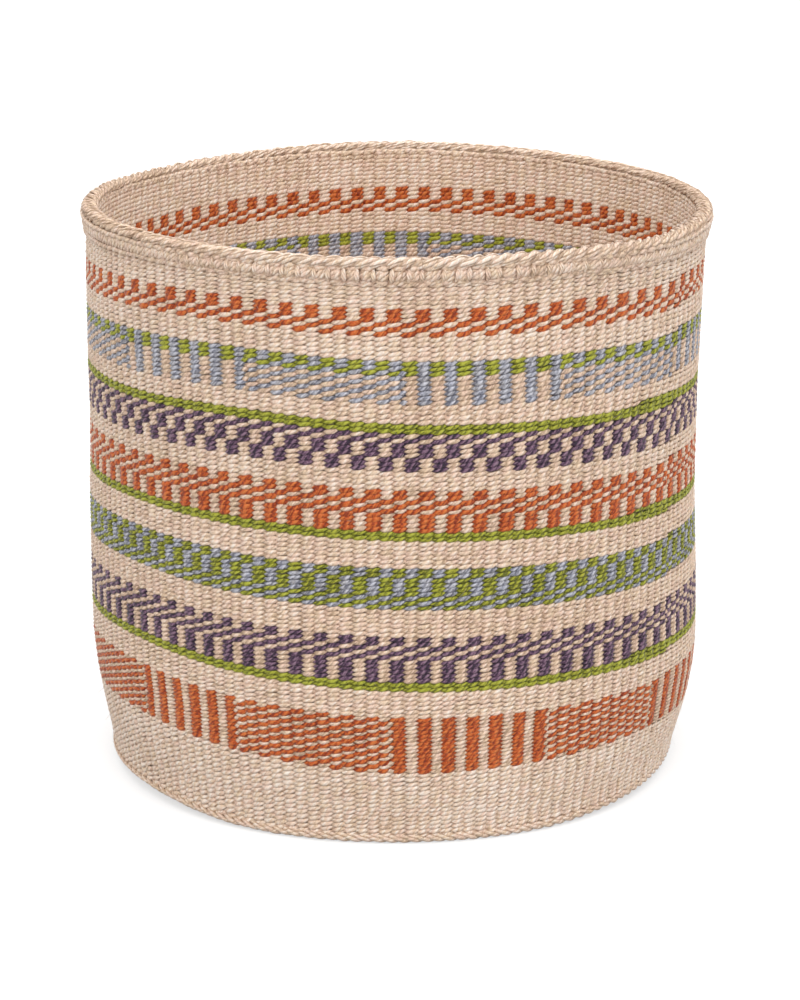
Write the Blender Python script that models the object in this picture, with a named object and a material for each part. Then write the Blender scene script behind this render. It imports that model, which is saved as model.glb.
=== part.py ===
"""Kiondo: a round twined fibre basket, open at the top.

Upright warps run out from a hub in the base, turn the corner and climb the wall to the rim.
Coloured weft bands go round them, on their outer and inner side at once. A thick ridge row
edges the base, and a lashed row and a braid finish the rim.
Metres, +Z up. The origin is on the axis, at the underside of the base.
"""

import math

import bmesh
import bpy

# Clearance between neighbouring pieces
GAP = 0.0003

# Weft wall: its height from the ridge to the rim, and its thickness on each side of the warps
WALL_HEIGHT = 0.240465
SKIN = 0.0015

# Warps: a doubled cord between the two sides of the weft
WARP_THICKNESS = 0.0016
WARP_WIDTH = 0.003
WARP_COUNT = 76
HUB_RADIUS = 0.030
HUB_WARP_SHARE = 0.5
CORNER_BEND = 0.003

# Outer radius of the wall under the rim, and how far it draws in or swells below, from the foot up
NECK_RADIUS = 0.1348
FOOT_DRAW_IN = 0.0076
FOOT_TOP_DRAW_IN = 0.0012
BULGE_SWELL = 0.0015
WAIST_DRAW_IN = 0.0008

# Base: where its three rounds of weft meet, and the ridge row round its edge
START_RADIUS = 0.038
MIDDLE_RADIUS = 0.082
RIDGE_HEIGHT = 0.0025
RIDGE_STAND = 0.0008
RIDGE_ROUNDING = 0.0007

# Rim: the lashed row and the braid over it
LASHING_HEIGHT = 0.0054
LASHING_STAND = 0.0032
BRAID_HEIGHT = 0.0050
BRAID_STAND = 0.0020
BRAID_THICKNESS = 0.0072

# Round pieces are drawn with flat facets, and the two sides of a band are tied by ribs between warps
FACETS = 24
RIBS = 4
RIB_SHARE = 0.25

# Fibre colours (linear red, green, blue)
NATURAL = (0.62, 0.47, 0.33)
ORANGE = (0.55, 0.10, 0.02)
GREEN = (0.28, 0.33, 0.03)
PURPLE = (0.09, 0.06, 0.12)
BLUE = (0.27, 0.32, 0.45)
FIBRE_ROUGHNESS = 0.85

# Outer radii that follow, where the wall bends
FOOT_RADIUS = NECK_RADIUS - FOOT_DRAW_IN
FOOT_TOP_RADIUS = NECK_RADIUS - FOOT_TOP_DRAW_IN
BULGE_RADIUS = NECK_RADIUS + BULGE_SWELL
WAIST_RADIUS = NECK_RADIUS - WAIST_DRAW_IN

# Weft bands from the foot up: name, rows, colour, outer radius at the top where the wall bends
STRIPE_ROWS = 2
BANDS = (
    ("foot_weft", 15, NATURAL, FOOT_TOP_RADIUS),
    ("orange_block_band", 14, ORANGE, BULGE_RADIUS),
    ("plain_band_1", 6, NATURAL, None),
    ("green_stripe_1", STRIPE_ROWS, GREEN, None),
    ("purple_band_1", 10, PURPLE, None),
    ("plain_band_2", 6, NATURAL, None),
    ("green_blue_band_1", 9, BLUE, None),
    ("plain_band_3", 6, NATURAL, None),
    ("green_stripe_2", STRIPE_ROWS, GREEN, WAIST_RADIUS),
    ("orange_band_1", 9, ORANGE, None),
    ("plain_band_4", 4, NATURAL, None),
    ("purple_band_2", 8, PURPLE, None),
    ("green_stripe_3", STRIPE_ROWS, GREEN, None),
    ("plain_band_5", 4, NATURAL, None),
    ("green_blue_band_2", 9, BLUE, None),
    ("plain_band_6", 5, NATURAL, None),
    ("orange_band_2", 6, ORANGE, None),
    ("neck_weft", 6, NATURAL, NECK_RADIUS),
)

# Sizes that follow from the ones above
ROW_PITCH = WALL_HEIGHT / sum(rows for _, rows, _, _ in BANDS)
SLOT = WARP_THICKNESS + 2 * GAP
WALL = 2 * SKIN + SLOT
WALL_BOTTOM = RIDGE_HEIGHT + GAP
WARP_LOW = SKIN + GAP
WARP_HIGH = WARP_LOW + WARP_THICKNESS
CORNER_TOP = WARP_LOW + CORNER_BEND
DIAGONAL = math.sqrt(2)
HALF_BEND = math.tan(math.radians(22.5))


def wall_bends():
    """Heights where the wall changes its slope, with the outer radius there."""
    bends = [(WALL_BOTTOM, FOOT_RADIUS)]
    height = WALL_BOTTOM
    for _, rows, _, radius in BANDS:
        height += rows * ROW_PITCH
        if radius is not None:
            bends.append((height, radius))
    return bends


BENDS = wall_bends()
WALL_TOP = BENDS[-1][0]


def wall_radius(height):
    """Outer radius of the weft at this height."""
    for (low, low_radius), (high, high_radius) in zip(BENDS, BENDS[1:]):
        if height <= high:
            share = (height - low) / (high - low)
            return low_radius + share * (high_radius - low_radius)
    return NECK_RADIUS


def station_angles():
    """Angles of the facets' corners, and whether a rib fills the cell that starts there."""
    half_rib = RIB_SHARE * math.pi / WARP_COUNT
    stations = []
    for index in range(FACETS):
        angle = 2 * math.pi * index / FACETS
        if index % (FACETS // RIBS) == 0:
            stations.append((angle - half_rib, True))
            stations.append((angle + half_rib, False))
        else:
            stations.append((angle, False))
    return stations


STATIONS = station_angles()


def facet_radius(radius, angle):
    """Distance from the axis to a facet, for facets whose corners lie at this radius."""
    corners = [corner for corner, _ in STATIONS]
    corners.append(corners[0] + 2 * math.pi)
    turned = (angle - corners[0]) % (2 * math.pi) + corners[0]
    for first, second in zip(corners, corners[1:]):
        if turned <= second:
            middle = (first + second) / 2
            return radius * math.cos((second - first) / 2) / math.cos(turned - middle)
    return radius


def polar(radius, angle, height):
    return (radius * math.cos(angle), radius * math.sin(angle), height)


def fibre_material(name, colour):
    material = bpy.data.materials.new(name + "_fibre")
    material.use_nodes = True
    shader = material.node_tree.nodes["Principled BSDF"]
    shader.inputs["Base Color"].default_value = (*colour, 1)
    shader.inputs["Roughness"].default_value = FIBRE_ROUGHNESS
    shader.inputs["Metallic"].default_value = 0
    material.diffuse_color = (*colour, 1)
    return material


def finish(name, bm, colour):
    """Closes the mesh, turns its faces outward and puts it in the scene as one piece."""
    bmesh.ops.remove_doubles(bm, verts=bm.verts, dist=GAP / 100)
    bmesh.ops.recalc_face_normals(bm, faces=bm.faces)
    mesh = bpy.data.meshes.new(name)
    bm.to_mesh(mesh)
    bm.free()
    mesh.materials.append(fibre_material(name, colour))
    mesh.shade_smooth()
    mesh.set_sharp_from_angle(angle=math.radians(35))
    piece = bpy.data.objects.new(name, mesh)
    bpy.context.scene.collection.objects.link(piece)
    return piece


def add_strip(bm, first, second):
    """Faces between two rows of corners."""
    for j in range(len(first) - 1):
        bm.faces.new((first[j], second[j], second[j + 1], first[j + 1]))


def sleeve(name, colour, far_a, near_a, near_b, far_b, rib_from=0):
    """Two skins of revolution with an open slot between them, tied by ribs.

    Each skin is given by its far face and the near face along the slot, as (radius, height) points.
    Ribs fill the slot from the point numbered rib_from to the last.
    """
    bm = bmesh.new()
    rows = [
        [[bm.verts.new(polar(r, angle, z)) for r, z in face] for face in (far_a, near_a, near_b, far_b)]
        for angle, _ in STATIONS
    ]
    last = len(far_a) - 1
    for index, (_, rib) in enumerate(STATIONS):
        here = rows[index]
        there = rows[(index + 1) % len(rows)]
        near_end = rib_from + 1 if rib else last + 1
        add_strip(bm, here[0], there[0])
        add_strip(bm, here[3], there[3])
        add_strip(bm, here[1][:near_end], there[1][:near_end])
        add_strip(bm, here[2][:near_end], there[2][:near_end])
        for level in (0, last):
            add_strip(bm, [here[0][level], here[1][level]], [there[0][level], there[1][level]])
            add_strip(bm, [here[2][level], here[3][level]], [there[2][level], there[3][level]])
        if rib:
            for level in (rib_from, last):
                add_strip(bm, [here[1][level], here[2][level]], [there[1][level], there[2][level]])
            add_strip(bm, here[1][rib_from:], here[2][rib_from:])
            add_strip(bm, there[1][rib_from:], there[2][rib_from:])
    return finish(name, bm, colour)


def turned_ring(name, colour, section):
    """A solid ring with this closed outline of (radius, height) points."""
    bm = bmesh.new()
    rows = [[bm.verts.new(polar(r, angle, z)) for r, z in section] for angle, _ in STATIONS]
    for here, there in zip(rows, rows[1:] + rows[:1]):
        add_strip(bm, here + here[:1], there + there[:1])
    return finish(name, bm, colour)


def make_wall():
    """The weft bands, one over the other. The lowest starts higher inside, clear of the bent warps."""
    bottom = WALL_BOTTOM
    inner_bottom = CORNER_TOP + HALF_BEND * WARP_THICKNESS + GAP
    for name, rows, colour, _ in BANDS:
        top = bottom + rows * ROW_PITCH - GAP
        outer_levels = (bottom, top)
        inner_levels = (max(bottom, inner_bottom), top)
        sleeve(
            name,
            colour,
            [(wall_radius(z), z) for z in outer_levels],
            [(wall_radius(z) - SKIN, z) for z in outer_levels],
            [(wall_radius(z) - SKIN - SLOT, z) for z in inner_levels],
            [(wall_radius(z) - WALL, z) for z in inner_levels],
        )
        bottom = top + GAP


def flat_sleeve(name, radii, upper_end, rib_from=0):
    """A round of base weft, under and over the warps. Its upper side ends at its own radius."""
    upper_radii = [*radii[:-1], upper_end]
    sleeve(
        name,
        NATURAL,
        [(r, 0) for r in radii],
        [(r, SKIN) for r in radii],
        [(r, SKIN + SLOT) for r in upper_radii],
        [(r, WALL) for r in upper_radii],
        rib_from,
    )


def make_base():
    """The start over the hub, two rounds of base weft, and the ridge row round the edge."""
    warp_face = wall_radius(CORNER_TOP) - SKIN - GAP
    lower_edge = warp_face - CORNER_BEND
    upper_edge = lower_edge - HALF_BEND * WARP_THICKNESS - GAP
    flat_sleeve("base_start", [0, HUB_RADIUS + GAP, START_RADIUS], START_RADIUS, rib_from=1)
    flat_sleeve("base_weft_inner", [START_RADIUS + GAP, MIDDLE_RADIUS], MIDDLE_RADIUS)
    flat_sleeve("base_weft_outer", [MIDDLE_RADIUS + GAP, lower_edge], upper_edge)
    edge = FOOT_RADIUS + RIDGE_STAND
    bent_warp = lower_edge + RIDGE_HEIGHT - WARP_LOW
    turned_ring(
        "foot_ridge",
        NATURAL,
        [
            (lower_edge + GAP, 0),
            (edge - RIDGE_ROUNDING, 0),
            (edge, RIDGE_ROUNDING),
            (edge, RIDGE_HEIGHT - RIDGE_ROUNDING),
            (edge - RIDGE_ROUNDING, RIDGE_HEIGHT),
            (max(bent_warp, lower_edge) + DIAGONAL * GAP, RIDGE_HEIGHT),
        ],
    )


def make_rim():
    """The lashed row that stands proud of the wall, and the braid that closes the top."""
    bottom = WALL_TOP
    top = bottom + LASHING_HEIGHT
    levels = (bottom, top)
    sleeve(
        "rim_lashing",
        NATURAL,
        [(NECK_RADIUS + LASHING_STAND, z) for z in levels],
        [(NECK_RADIUS - SKIN, z) for z in levels],
        [(NECK_RADIUS - SKIN - SLOT, z) for z in levels],
        [(NECK_RADIUS - WALL, z) for z in levels],
    )
    outside = NECK_RADIUS + BRAID_STAND
    inside = outside - BRAID_THICKNESS
    low = top + GAP
    high = low + BRAID_HEIGHT
    corner = BRAID_HEIGHT * HALF_BEND / DIAGONAL
    turned_ring(
        "rim_braid",
        NATURAL,
        [
            (inside + corner, low),
            (outside - corner, low),
            (outside, low + corner),
            (outside, high - corner),
            (outside - corner, high),
            (inside + corner, high),
            (inside, high - corner),
            (inside, low + corner),
        ],
    )


def warp_levels():
    """Faces of a warp along its way: (radius, height) outside or below, then inside or above."""
    mitre = HALF_BEND * WARP_THICKNESS
    face = wall_radius(CORNER_TOP) - SKIN - GAP
    back = wall_radius(CORNER_TOP + mitre) - SKIN - GAP - WARP_THICKNESS
    start = face - CORNER_BEND
    end = WALL_TOP + LASHING_HEIGHT - GAP
    levels = [
        ((HUB_RADIUS, WARP_LOW), (HUB_RADIUS, WARP_HIGH)),
        ((start, WARP_LOW), (start - mitre, WARP_HIGH)),
        ((face, CORNER_TOP), (back, CORNER_TOP + mitre)),
    ]
    for height, radius in [*BENDS[1:], (end, NECK_RADIUS)]:
        outer = radius - SKIN - GAP
        levels.append(((outer, height), (outer - WARP_THICKNESS, height)))
    return levels


def make_warps():
    """All the warps, joined at the hub where they cross in the middle of the base."""
    bm = bmesh.new()
    pitch = 2 * math.pi / WARP_COUNT
    levels = warp_levels()
    low_edge = []
    high_edge = []
    for index in range(WARP_COUNT):
        middle = (index + 1 / 2) * pitch
        sections = []
        for number, faces in enumerate(levels):
            section = []
            for radius, height in faces:
                spread = HUB_WARP_SHARE * pitch / 2 if number == 0 else WARP_WIDTH / 2 / radius
                for side in (-spread, spread):
                    angle = middle + side
                    section.append(bm.verts.new(polar(facet_radius(radius, angle), angle, height)))
            sections.append([section[0], section[1], section[3], section[2]])
        for here, there in zip(sections, sections[1:]):
            add_strip(bm, here + here[:1], there + there[:1])
        bm.faces.new(sections[-1])
        low_edge.extend(sections[0][:2])
        high_edge.extend([sections[0][3], sections[0][2]])
    for index in range(1, 2 * WARP_COUNT, 2):
        after = (index + 1) % len(low_edge)
        bm.faces.new((low_edge[index], low_edge[after], high_edge[after], high_edge[index]))
    bm.faces.new(low_edge)
    bm.faces.new(high_edge)
    finish("warps", bm, NATURAL)


for old in list(bpy.data.objects):
    bpy.data.objects.remove(old)

make_base()
make_wall()
make_rim()
make_warps()
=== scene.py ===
"""Looks of a kiondo, a round basket of twined plant yarn.

A row of weft is two yarns. They pass on both sides of every upright warp and cross between warps.
The script lays each yarn as it really runs, in one spiral that climbs the wall, and decides at every
warp which of the two colours shows. Metres, +Z up, the front towards -Y.
"""

import math

import bpy
import numpy as np
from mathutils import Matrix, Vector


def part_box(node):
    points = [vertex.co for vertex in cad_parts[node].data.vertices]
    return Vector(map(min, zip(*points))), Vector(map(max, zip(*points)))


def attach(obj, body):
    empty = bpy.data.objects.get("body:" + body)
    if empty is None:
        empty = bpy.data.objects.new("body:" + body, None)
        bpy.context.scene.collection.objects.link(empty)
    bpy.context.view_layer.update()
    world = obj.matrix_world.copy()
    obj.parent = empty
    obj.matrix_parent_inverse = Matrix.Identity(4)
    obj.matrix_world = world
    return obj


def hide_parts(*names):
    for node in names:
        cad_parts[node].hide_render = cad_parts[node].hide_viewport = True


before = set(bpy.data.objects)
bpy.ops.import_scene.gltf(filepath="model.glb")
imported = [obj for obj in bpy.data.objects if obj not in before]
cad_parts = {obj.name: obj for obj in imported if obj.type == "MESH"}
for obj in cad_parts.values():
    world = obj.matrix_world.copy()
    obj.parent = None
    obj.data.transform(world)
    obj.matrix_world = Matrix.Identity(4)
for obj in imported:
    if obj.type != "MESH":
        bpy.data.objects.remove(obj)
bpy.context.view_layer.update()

MM = 0.001
TURN = 2 * math.pi

# The wall: warps round it, the gap between CAD bands, the warp where each row starts, its thickness
WARPS = 152
GAP = 0.3 * MM
SEAM_WARP = 23.5
WALL = 5.2 * MM

# The base: the height of the middle of its thickness, and the radius where it meets the wall
BASE_MIDDLE = WALL / 2
BASE_EDGE = 125 * MM

# A weft yarn: how far it swings to each side of the warps and up and down, and its half sizes.
# Where two yarns cross between warps they are squeezed lower and bulge that much deeper.
SWING = 1.85 * MM
CLIMB = 0.4 * MM
YARN_HALF_HEIGHT = 1.2 * MM
YARN_HALF_DEPTH = 0.82 * MM
SQUEEZE_SHARE = 0.52
CROSSING_BULGE = 0.95 * MM

# How suddenly a yarn narrows towards a crossing, outside and inside the basket, how steeply it
# crosses, and by how much and over how many warps it thins out at its ends
OUTSIDE_NARROWING = 0.85
INSIDE_NARROWING = 0.35
CROSSING_STEEPNESS = 1.3
END_THINNING = 0.45
END_WARPS = 3

# Inside the basket a yarn is a little thicker, paler by painted light, and gets less painted shade
# where it is tucked in
INSIDE_THICKER = 0.12
INSIDE_PAINTED_LIGHT = 0.1
INSIDE_TUCKED_SHADE = 0.4

# How much stitches differ from each other in climb, height, thickness, swing and tone
CLIMB_SPREAD = 0.14
HEIGHT_SPREAD = 0.06 * MM
THICKNESS_SPREAD = 0.08
SWING_SPREAD = 0.05 * MM
TONE_SPREAD = 0.13

# Points along a yarn from one warp to the next, and corners round it
STEPS_PER_WARP = 6
YARN_SIDES = 6

# Angle of some warp pairs on the photographed side, counted from the pair right of the middle
PAIR_NUMBERS = (-13, -7, 0, 5, 11, 63)
PAIR_ANGLES = (
    (45 * MM, (-51.3, -26.5, 5.2, 27.2, 57.0)),
    (85 * MM, (-53.2, -27.1, 5.0, 28.0, 57.5)),
    (148 * MM, (-55.4, -27.6, 5.8, 30.2, 58.5)),
    (226 * MM, (-58.9, -29.1, 4.8, 29.6, 60.8)),
)

# How far the rows of the hand-worked basket wander up or down, in mm, at some heights and angles
WANDER_ANGLES = (-180, -130, -80, -55, -30, 0, 30, 55, 80, 130, 180)
WANDER_HEIGHTS = (0 * MM, 32 * MM, 62 * MM, 137 * MM, 182 * MM, 226 * MM, 253 * MM)
ROW_WANDER = (
    (0, 1.0, 2.8, 4.0, 0.4, 0, 0, 2.2, 3.2, 1.0, 0),
    (0, 1.5, 7.3, 10.4, 5.2, 1.0, 1.8, 2.0, -4.2, -1.0, 0),
    (0, 1.0, 2.6, 5.0, 1.5, -1.4, -3.2, -5.4, -8.3, -2.0, 0),
    (0, 0, -1.6, 1.3, 0.6, -0.9, -3.7, -7.0, -10.3, -4.0, 0),
    (0, -1.0, 0, 0.8, 3.0, -0.1, -2.6, -4.6, -7.6, -3.0, 0),
    (0, -2.5, -2.1, 1.7, 3.5, 1.3, 1.0, -1.0, -3.2, -1.5, 0),
    (0, -3.0, -0.8, -0.1, -0.3, -0.8, -0.8, -3.4, -3.0, -2.4, 0),
)

# How far the wall stands out of round, in mm
BULGE_ANGLES = (-180, -80, -35, 0, 35, 80, 180)
BULGE_HEIGHTS = (0 * MM, 50 * MM, 182 * MM, 226 * MM, 253 * MM)
WALL_BULGE = (
    (0, 0.3, 3.2, 2.9, 3.1, -2.2, 0),
    (0, 0.9, 0.5, 0, 0, -0.6, 0),
    (0, 1.9, 0, 0, 0, -0.4, 0),
    (0, 1.4, 0, 0, 0, 1.3, 0),
    (0, 0.8, 0, 0, 0, 2.7, 0),
)

# Yarn colours (linear): body, the hue it drifts to, a paler tone that also gives the painted glints,
# and a darker tone that is also the painted shade
NATURAL = ((0.872, 0.623, 0.492), (0.842, 0.635, 0.447), (0.99, 0.875, 0.77), (0.43, 0.284, 0.185))
ORANGE = ((0.575, 0.094, 0.013), (0.58, 0.116, 0.018), (0.66, 0.19, 0.046), (0.23, 0.027, 0.004))
GREEN = ((0.368, 0.384, 0.024), (0.4, 0.386, 0.032), (0.46, 0.475, 0.062), (0.105, 0.11, 0.007))
PURPLE = ((0.108, 0.046, 0.1), (0.125, 0.054, 0.105), (0.27, 0.165, 0.225), (0.02, 0.009, 0.023))
BLUE = ((0.366, 0.376, 0.452), (0.395, 0.375, 0.385), (0.63, 0.63, 0.69), (0.12, 0.12, 0.155))

# Thickness of a dyed yarn against the undyed one
THICKNESS = {"natural": 1.0, "orange": 1.2, "green": 0.92, "purple": 1.0, "blue": 0.96}
# How much longer than the yarn under it a marking yarn stays in front of its warp
LEAD = {"natural": 0.0, "orange": 0.16, "green": 0.04, "purple": 0.1, "blue": -0.08}
# How much darker the ground yarn looks among another colour, and how much paler or, below 0, how
# much darker the undyed yarn of some bands is
GROUND_SHADE = 0.22
PALE_BANDS = {
    "foot_weft": 0.25,
    "neck_weft": 0.2,
    "plain_band_6": 0.1,
    "orange_band_2": 0.3,
    "green_blue_band_1": -0.16,
    "green_blue_band_2": -0.14,
    "purple_band_1": -0.14,
}

# Blocks of upright bars: first warp and number of warps. Between them the bars break into diagonals.
ORANGE_BARS = ((-26, 11), (-2, 13), (22, 13), (46, 13), (70, 13), (94, 13))
BLUE_BARS = ((-25, 12), (-1, 12), (23, 12), (47, 12), (71, 12), (95, 12))

# Bands from the foot up: CAD node, marking colour, ground colour, and for each row from the bottom
# the column that the marking colour takes, A or B. A band with blocks also has the columns that it
# takes between them.
BANDS = (
    ("foot_weft", "natural", "natural", "A" * 15, None),
    ("orange_block_band", "orange", "natural", "A" * 14, ("BA" * 7, ORANGE_BARS)),
    ("plain_band_1", "natural", "natural", "A" * 6, None),
    ("green_stripe_1", "green", "green", "A" * 2, None),
    ("purple_band_1", "purple", "natural", "AAAAABABAA", None),
    ("plain_band_2", "natural", "natural", "A" * 6, None),
    ("green_blue_band_1", "blue", "green", "BABAAAABB", None),
    ("plain_band_3", "natural", "natural", "A" * 6, None),
    ("green_stripe_2", "green", "green", "A" * 2, None),
    ("orange_band_1", "orange", "natural", "AAAABABAA", None),
    ("plain_band_4", "natural", "natural", "A" * 4, None),
    ("purple_band_2", "purple", "natural", "BBBAAABA", None),
    ("green_stripe_3", "green", "green", "A" * 2, None),
    ("plain_band_5", "natural", "natural", "A" * 4, None),
    ("green_blue_band_2", "blue", "natural", "A" * 9, ("BABABABAA", BLUE_BARS)),
    ("plain_band_6", "natural", "natural", "A" * 5, None),
    ("orange_band_2", "orange", "natural", "BABAAA", None),
    ("neck_weft", "natural", "natural", "A" * 6, None),
)
# The band whose ground yarn is green in its top rows, and how many those are
GREEN_TOPPED = "green_blue_band_2"
GREEN_TOP_ROWS = 3
# The band whose inside shows most over the rim, so its two yarns share both sides equally
SEEN_INSIDE = "orange_band_2"
# Warps by which a green stripe runs on over its own start
STRIPE_OVERLAP = 5
# A band of one colour with fewer rows than this is one piece
SPLIT_ROWS = 10
# How much the bands differ from each other in tone
BAND_TONE_SPREAD = 0.05

WALL_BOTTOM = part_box("foot_weft")[0].z
WALL_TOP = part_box("neck_weft")[1].z + GAP
ROW_PITCH = (WALL_TOP - WALL_BOTTOM) / sum(len(rows) for _, _, _, rows, _ in BANDS)
RIM_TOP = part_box("rim_braid")[1].z


def wall_outline():
    """Heights and outer radii at the joints of the CAD bands."""
    heights = []
    radii = []
    for name, *_ in BANDS:
        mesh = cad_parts[name].data
        points = np.array([vertex.co for vertex in mesh.vertices])
        reach = np.hypot(points[:, 0], points[:, 1])
        for level in (points[:, 2].min(), points[:, 2].max()):
            at_level = np.abs(points[:, 2] - level) < GAP / 2
            heights.append(level)
            radii.append(reach[at_level].max())
    return np.array(heights), np.array(radii)


WALL_HEIGHTS, WALL_RADII = wall_outline()
SMOOTHING = 9 * MM
SMOOTHING_SHARES = (-1, -0.5, 0, 0.5, 1)


def wall_radius(height):
    """Outer radius of the wall, with the CAD wall's bends rounded off."""
    total = 0
    for share in SMOOTHING_SHARES:
        total = total + np.interp(height + share * SMOOTHING, WALL_HEIGHTS, WALL_RADII)
    return total / len(SMOOTHING_SHARES)


def pair_angles_at(level):
    """Angles of the listed pairs at one listed height, closed round the back."""
    angles = list(PAIR_ANGLES[level][1])
    return angles + [angles[0] + 360]


def warp_angle(warp, height):
    """Angle of a warp from the front, to the right, in radians. Two warps make a pair."""
    pair = warp / 2
    turns = np.floor((pair - PAIR_NUMBERS[0]) / (WARPS / 2))
    inside = pair - turns * WARPS / 2
    heights = [level for level, _ in PAIR_ANGLES]
    levels = [np.interp(inside, PAIR_NUMBERS, pair_angles_at(k)) for k in range(len(heights))]
    place = np.clip(np.interp(height, heights, range(len(heights))), 0, len(heights) - 1)
    low = np.minimum(place.astype(int), len(heights) - 2)
    share = place - low
    table = np.array(levels)
    index = np.arange(len(inside))
    degrees = table[low, index] * (1 - share) + table[low + 1, index] * share
    return np.radians(degrees + 360 * turns)


def smooth_round(angles, rows):
    """Rows of values in mm at some angles, made into one for every degree without kinks."""
    fine = np.array([np.interp(np.arange(-180, 180), angles, values) for values in rows])
    shifts = range(-9, 10)
    return sum(np.roll(fine, shift, 1) for shift in shifts) / len(shifts) * MM


WANDER = smooth_round(WANDER_ANGLES, ROW_WANDER)
BULGE = smooth_round(BULGE_ANGLES, WALL_BULGE)


def read_round(table, heights, angle, height):
    """A table of values for every degree at some heights, read between them."""
    degree = np.mod(np.degrees(angle) + 180, 360)
    left = np.floor(degree).astype(int) % 360
    side = degree - np.floor(degree)
    levels = np.interp(height, heights, range(len(heights)))
    low = np.minimum(levels.astype(int), len(heights) - 2)
    up = levels - low
    lower = table[low, left] * (1 - side) + table[low, (left + 1) % 360] * side
    upper = table[low + 1, left] * (1 - side) + table[low + 1, (left + 1) % 360] * side
    return lower * (1 - up) + upper * up


def wander(angle, height):
    return read_round(WANDER, WANDER_HEIGHTS, angle, height)


def bulge(angle, height):
    return read_round(BULGE, BULGE_HEIGHTS, angle, height)


# Where the warps stray sideways, in warps, and where the wall has lumps and of what size
dice = np.random.default_rng(1938)
WARP_DRIFT = dice.normal(0, 0.075, (6, WARPS))
WALL_LUMPS = dice.normal(0, 1, (9, 12))
LUMP = 0.35 * MM


def round_table(table, warp, height):
    """A table of values over height and round the basket, read smoothly."""
    levels, places = table.shape
    at = np.mod(warp / WARPS, 1) * places
    column = np.floor(at).astype(int)
    side = at - column
    side = side * side * (3 - 2 * side)
    up = np.clip(height / RIM_TOP, 0, 1) * (levels - 1)
    row = np.minimum(np.floor(up).astype(int), levels - 2)
    above = up - row
    left = column % places
    right = (column + 1) % places
    low = table[row, left] * (1 - side) + table[row, right] * side
    high = table[row + 1, left] * (1 - side) + table[row + 1, right] * side
    return low * (1 - above) + high * above


def on_wall(warp, height, out=0.0):
    """Points at a warp, a height and a distance out from the middle of the wall's thickness.

    Also gives the outward directions there."""
    warp = np.asarray(warp, float)
    height = np.broadcast_to(np.asarray(height, float), warp.shape)
    drift = round_table(WARP_DRIFT, warp, height)
    angle = warp_angle(warp + drift, height)
    lumps = round_table(WALL_LUMPS, warp, height) * LUMP
    radius = wall_radius(height) - WALL / 2 + out + lumps * np.clip(height / SMOOTHING - 1, 0, 1)
    radius = radius + bulge(angle, height)
    outward = np.stack([np.sin(angle), -np.cos(angle), np.zeros_like(angle)], 1)
    points = outward * radius[:, None]
    points[:, 2] = height + wander(angle, height)
    return points, outward


def on_base(angle, radius, height):
    """Points on the base, whose edge lifts and draws in with the foot of the wall."""
    share = np.clip(radius / BASE_EDGE, 0, 1.1) ** 4
    level = np.zeros_like(angle)
    reach = radius + bulge(angle, level) * share
    rise = height + wander(angle, level) * share
    return np.stack([reach * np.sin(angle), -reach * np.cos(angle), rise], 1)


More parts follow.
